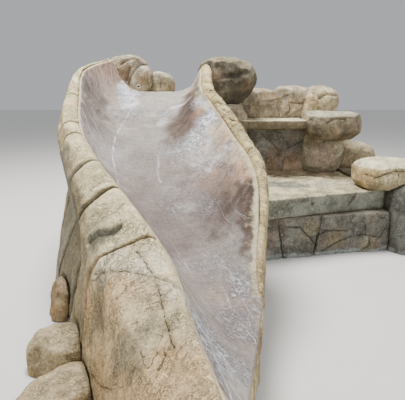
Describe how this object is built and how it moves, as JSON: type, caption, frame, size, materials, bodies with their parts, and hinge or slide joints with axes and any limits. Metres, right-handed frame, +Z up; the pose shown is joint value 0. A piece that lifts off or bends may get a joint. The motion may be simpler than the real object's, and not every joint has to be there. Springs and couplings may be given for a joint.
{
  "type": "artificial rock pool slide",
  "caption": "Curved pool water slide: a smooth plastered chute between walls of carved artificial rock, with an entry boulder, spill ledge and shelf over the water.",
  "frame": {"origin": "centre of the bounding box at the waterline, on the underside", "axes": "+Z up; +Y from the chute's exit up to its crest; +X across, from the slide to the spill ledge"},
  "size_m": [4.2088, 5.4922, 2.1968],
  "materials": {
    "chute_plaster": "trowelled plaster, stained and limed",
    "tan_stone": "carved and stained mortar",
    "dark_stone": "carved and stained mortar, dark",
    "core_concrete": "rough concrete",
    "inlet_plastic": "moulded"
  },
  "bodies": {
    "root": {"slide_chute": "chute_plaster", "concrete_core": "core_concrete", "exit_sill_stone": "tan_stone", "left_coping_stone_1": "tan_stone", "left_coping_stone_2": "tan_stone", "left_coping_stone_3": "tan_stone", "left_side_stone_1": "tan_stone", "left_side_stone_2": "tan_stone", "left_side_stone_3": "tan_stone", "left_side_stone_4": "tan_stone", "left_side_stone_5": "tan_stone", "left_side_stone_6": "tan_stone", "right_coping_stone_1": "tan_stone", "right_coping_stone_2": "tan_stone", "right_coping_stone_3": "tan_stone", "right_coping_stone_4": "tan_stone", "right_coping_stone_5": "tan_stone", "right_coping_stone_6": "tan_stone", "right_side_stone_1": "tan_stone", "right_side_stone_2": "tan_stone", "right_side_stone_3": "tan_stone", "rear_stone_1": "tan_stone", "rear_stone_2": "tan_stone", "rear_stone_3": "tan_stone", "rear_stone_4": "tan_stone", "landing_base": "core_concrete", "landing_slab": "tan_stone", "water_inlet_fitting": "inlet_plastic", "crest_side_rock": "tan_stone", "entry_rock_middle": "tan_stone", "entry_rock_left": "tan_stone", "entry_rock_right": "tan_stone", "entry_boulder_base": "tan_stone", "entry_boulder": "dark_stone", "shelf_slab": "tan_stone", "shelf_core": "core_concrete", "shelf_wall_rock_1": "tan_stone", "shelf_wall_rock_2": "tan_stone", "shelf_wall_rock_3": "tan_stone", "shelf_wall_rock_4": "dark_stone", "recess_side_rock": "dark_stone", "recess_rock_1": "dark_stone", "recess_rock_2": "dark_stone", "recess_rock_3": "dark_stone", "upper_ledge": "tan_stone", "back_rock_1": "tan_stone", "back_rock_2": "tan_stone", "back_rock_3": "tan_stone", "ledge_side_rock": "tan_stone", "shelf_rock_rear": "tan_stone", "end_rock": "dark_stone", "shelf_rock_front": "tan_stone", "end_rock_rear": "tan_stone", "foot_rock_1": "tan_stone", "foot_rock_2": "tan_stone", "foot_rock_3": "tan_stone"}
  },
  "joints": []
}
